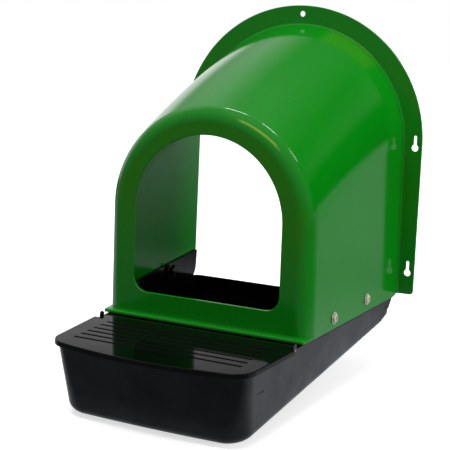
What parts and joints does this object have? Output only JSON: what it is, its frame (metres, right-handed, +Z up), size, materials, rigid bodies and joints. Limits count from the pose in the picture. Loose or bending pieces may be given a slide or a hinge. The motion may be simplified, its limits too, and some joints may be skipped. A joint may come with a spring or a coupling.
{
  "type": "roll-away nest box",
  "caption": "Wall-hung roll-away nest box for hens: arched hood with a round-topped entrance, wall flange, sloping egg tray and a hinged egg lid.",
  "frame": {"origin": "centre of the top hanging hole, in the wall plane", "axes": "+Y into the wall, +Z up, +X to the right seen from the front"},
  "size_m": [0.36, 0.439, 0.4785],
  "materials": {
    "green_plastic": "glossy moulded green plastic",
    "black_plastic": "high-gloss moulded black plastic",
    "mat": "studded matte plastic",
    "pin_steel": "plain steel pin",
    "screw_nylon": "cream moulded screw head",
    "washer_steel": "bright washer",
    "nut_nylon": "pale moulded wing nut"
  },
  "bodies": {
    "box": {"hood": "green_plastic", "tray": "black_plastic", "nest_mat": "mat", "screw_left_front": "screw_nylon", "washer_outer_left_front": "washer_steel", "washer_inner_left_front": "washer_steel", "wing_nut_left_front": "nut_nylon", "screw_left_rear": "screw_nylon", "washer_outer_left_rear": "washer_steel", "washer_inner_left_rear": "washer_steel", "wing_nut_left_rear": "nut_nylon", "screw_right_front": "screw_nylon", "washer_outer_right_front": "washer_steel", "washer_inner_right_front": "washer_steel", "wing_nut_right_front": "nut_nylon", "screw_right_rear": "screw_nylon", "washer_outer_right_rear": "washer_steel", "washer_inner_right_rear": "washer_steel", "wing_nut_right_rear": "nut_nylon"},
    "lid": {"lid": "black_plastic", "hinge_pin_left": "pin_steel", "hinge_pin_right": "pin_steel"}
  },
  "joints": [
    {"name": "lid_hinge", "type": "hinge", "parent": "box", "child": "lid", "pos_m": [0, -0.303, -0.3799], "axis": [-1, 0, 0], "range_deg": [0, 96]}
  ]
}
